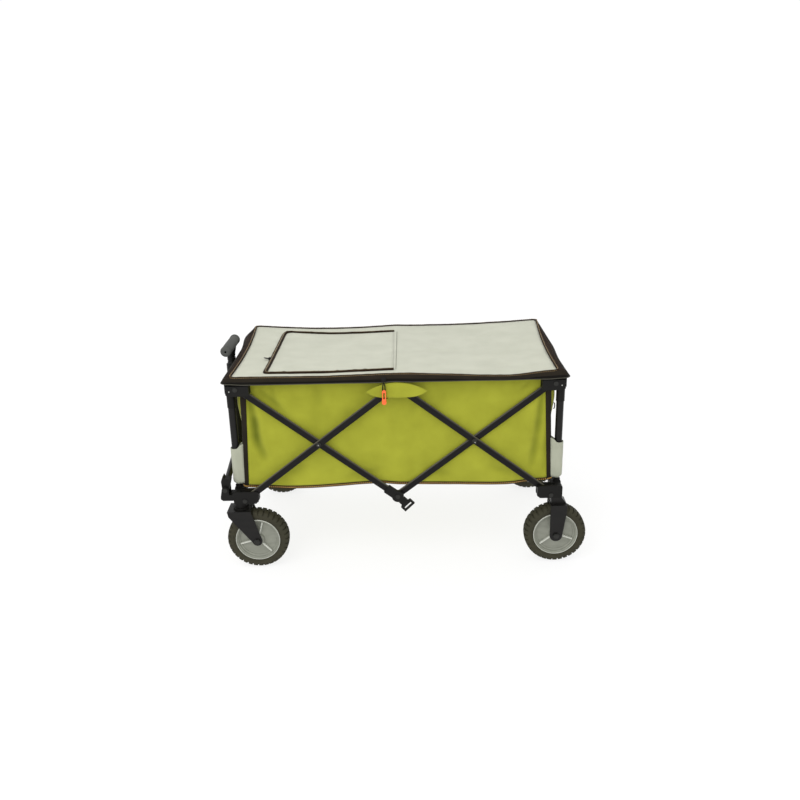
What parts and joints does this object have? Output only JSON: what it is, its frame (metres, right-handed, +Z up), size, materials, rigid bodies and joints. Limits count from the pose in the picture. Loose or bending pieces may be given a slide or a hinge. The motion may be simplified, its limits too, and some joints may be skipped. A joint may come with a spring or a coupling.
{
  "type": "folding utility wagon",
  "caption": "Folding pull wagon: fabric tub with zipped lid and hatch, double-scissor tube frame, swivel front casters, fixed rear wheels and telescoping T-handle.",
  "frame": {"origin": "centre of the bounding box, on the ground under the wheels", "axes": "+Z up, -X towards the pull handle at the front, +X to the rear, -Y the side with the hanging zip pull"},
  "size_m": [1.053, 0.562, 0.6168],
  "materials": {
    "frame_paint": "satin",
    "black_plastic": "matte",
    "handle_metal": "satin",
    "pin_steel": "satin",
    "tyre_rubber": "matte",
    "hub_plastic": "satin",
    "lime_fabric": "woven matte",
    "grey_fabric": "woven matte",
    "black_fabric": "woven matte",
    "black_cord": "braided",
    "orange_plastic": "satin",
    "grip_rubber": "matte"
  },
  "bodies": {
    "front_frame": {"front_cross_tube": "frame_paint", "front_lower_brackets": "black_plastic", "handle_arms": "black_plastic", "front_inner_posts": "frame_paint", "front_frame_pins": "pin_steel", "caster_bearings": "black_plastic"},
    "caster_near": {"caster_fork_near": "frame_paint", "caster_axle_near": "pin_steel"},
    "caster_far": {"caster_fork_far": "frame_paint", "caster_axle_far": "pin_steel"},
    "front_wheel_near": {"front_tyre_near": "tyre_rubber", "front_hub_near": "hub_plastic"},
    "front_wheel_far": {"front_tyre_far": "tyre_rubber", "front_hub_far": "hub_plastic"},
    "rear_wheel_near": {"rear_tyre_near": "tyre_rubber", "rear_hub_near": "hub_plastic"},
    "rear_wheel_far": {"rear_tyre_far": "tyre_rubber", "rear_hub_far": "hub_plastic"},
    "rear_frame": {"rear_cross_tube": "frame_paint", "rear_lower_brackets": "black_plastic", "rear_inner_posts": "frame_paint", "rear_forks": "frame_paint", "rear_axles": "pin_steel", "rear_frame_pins": "pin_steel"},
    "front_top": {"front_outer_posts": "frame_paint", "front_post_collars": "black_plastic", "front_upper_brackets": "black_plastic", "front_top_rail": "frame_paint", "front_post_sleeves": "grey_fabric"},
    "rear_top": {"rear_outer_posts": "frame_paint", "rear_post_collars": "black_plastic", "rear_upper_brackets": "black_plastic", "rear_top_rail": "frame_paint", "rear_post_sleeves": "grey_fabric"},
    "bars_b_front": {"scissor_b_front": "frame_paint", "pins_b_front": "pin_steel", "upper_mid_hubs": "black_plastic"},
    "bars_a_front": {"scissor_a_front": "frame_paint", "pins_a_front": "pin_steel", "lower_mid_hubs": "black_plastic", "strap_buckle": "black_plastic"},
    "bars_a_rear": {"scissor_a_rear": "frame_paint", "pins_a_rear": "pin_steel"},
    "bars_b_rear": {"scissor_b_rear": "frame_paint"},
    "handle": {"handle_yoke": "frame_paint", "handle_hinge_blocks": "black_plastic", "handle_outer_tube": "frame_paint", "handle_collar": "black_plastic"},
    "handle_middle": {"handle_middle_tube": "handle_metal"},
    "handle_top": {"handle_inner_tube": "handle_metal", "handle_grip": "grip_rubber"},
    "cover": {"tub": "lime_fabric", "floor_board": "black_fabric", "rim_band": "black_fabric", "lid_panel": "grey_fabric", "mid_flaps": "lime_fabric", "zip_sliders": "black_plastic"},
    "hatch": {"hatch_panel": "grey_fabric"},
    "pull": {"pull_cord": "black_cord", "zip_pull": "orange_plastic"}
  },
  "joints": [
    {"name": "fold", "type": "hinge", "parent": "front_frame", "child": "bars_b_front", "pos_m": [-0.4515, 0, 0.212], "axis": [0, -1, 0], "range_deg": [0, 42], "deforming": ["tub", "floor_board", "rim_band", "lid_panel", "zip_sliders", "hatch_panel"]},
    {"name": "front_cross", "type": "hinge", "parent": "bars_b_front", "child": "bars_a_front", "pos_m": [-0.2335, 0, 0.379], "axis": [0, -1, 0], "range_deg": [-84, 0]},
    {"name": "lower_mid", "type": "hinge", "parent": "bars_a_front", "child": "bars_a_rear", "pos_m": [-0.0155, 0, 0.212], "axis": [0, -1, 0], "range_deg": [0, 84]},
    {"name": "rear_cross", "type": "hinge", "parent": "bars_a_rear", "child": "bars_b_rear", "pos_m": [0.2025, 0, 0.379], "axis": [0, -1, 0], "range_deg": [-84, 0]},
    {"name": "rear_frame_level", "type": "hinge", "parent": "bars_b_rear", "child": "rear_frame", "pos_m": [0.4205, 0, 0.212], "axis": [0, -1, 0], "range_deg": [0, 42]},
    {"name": "front_top_level", "type": "hinge", "parent": "bars_a_front", "child": "front_top", "pos_m": [-0.4515, 0, 0.546], "axis": [0, -1, 0], "range_deg": [0, 42]},
    {"name": "rear_top_level", "type": "hinge", "parent": "bars_a_rear", "child": "rear_top", "pos_m": [0.4205, 0, 0.546], "axis": [0, -1, 0], "range_deg": [-42, 0]},
    {"name": "cover_level", "type": "hinge", "parent": "bars_b_front", "child": "cover", "pos_m": [-0.0155, 0, 0.546], "axis": [0, -1, 0], "range_deg": [-42, 0]},
    {"name": "caster_swivel_near", "type": "hinge", "parent": "front_frame", "child": "caster_near", "pos_m": [-0.4675, -0.245, 0.192], "axis": [0, 0, 1], "continuous": true},
    {"name": "caster_swivel_far", "type": "hinge", "parent": "front_frame", "child": "caster_far", "pos_m": [-0.4675, 0.245, 0.192], "axis": [0, 0, 1], "continuous": true},
    {"name": "front_wheel_near_spin", "type": "hinge", "parent": "caster_near", "child": "front_wheel_near", "pos_m": [-0.4235, -0.245, 0.089], "axis": [0, 1, 0], "continuous": true},
    {"name": "front_wheel_far_spin", "type": "hinge", "parent": "caster_far", "child": "front_wheel_far", "pos_m": [-0.4235, 0.245, 0.089], "axis": [0, 1, 0], "continuous": true},
    {"name": "rear_wheel_near_spin", "type": "hinge", "parent": "rear_frame", "child": "rear_wheel_near", "pos_m": [0.4375, -0.245, 0.089], "axis": [0, 1, 0], "continuous": true},
    {"name": "rear_wheel_far_spin", "type": "hinge", "parent": "rear_frame", "child": "rear_wheel_far", "pos_m": [0.4375, 0.245, 0.089], "axis": [0, 1, 0], "continuous": true},
    {"name": "handle_pitch", "type": "hinge", "parent": "front_frame", "child": "handle", "pos_m": [-0.5055, 0, 0.246], "axis": [0, -1, 0], "range_deg": [0, 100]},
    {"name": "handle_middle_slide", "type": "slide", "parent": "handle", "child": "handle_middle", "axis": [0, 0, 1], "range_m": [0, 0.19]},
    {"name": "handle_top_slide", "type": "slide", "parent": "handle_middle", "child": "handle_top", "axis": [0, 0, 1], "range_m": [0, 0.19]},
    {"name": "hatch_lift", "type": "hinge", "parent": "cover", "child": "hatch", "pos_m": [-0.016, 0, 0.592], "axis": [0, 1, 0], "range_deg": [0, 150]},
    {"name": "zip_pull_swing", "type": "hinge", "parent": "cover", "child": "pull", "pos_m": [-0.0465, -0.273, 0.561], "axis": [-1, 0, 0], "range_deg": [0, 80]}
  ],
  "couplings": [
    {"joint": "front_cross", "follows": "fold", "ratio": -2},
    {"joint": "lower_mid", "follows": "fold", "ratio": 2},
    {"joint": "rear_cross", "follows": "fold", "ratio": -2},
    {"joint": "rear_frame_level", "follows": "fold", "ratio": 1},
    {"joint": "front_top_level", "follows": "fold", "ratio": 1},
    {"joint": "rear_top_level", "follows": "fold", "ratio": -1},
    {"joint": "cover_level", "follows": "fold", "ratio": -1}
  ]
}
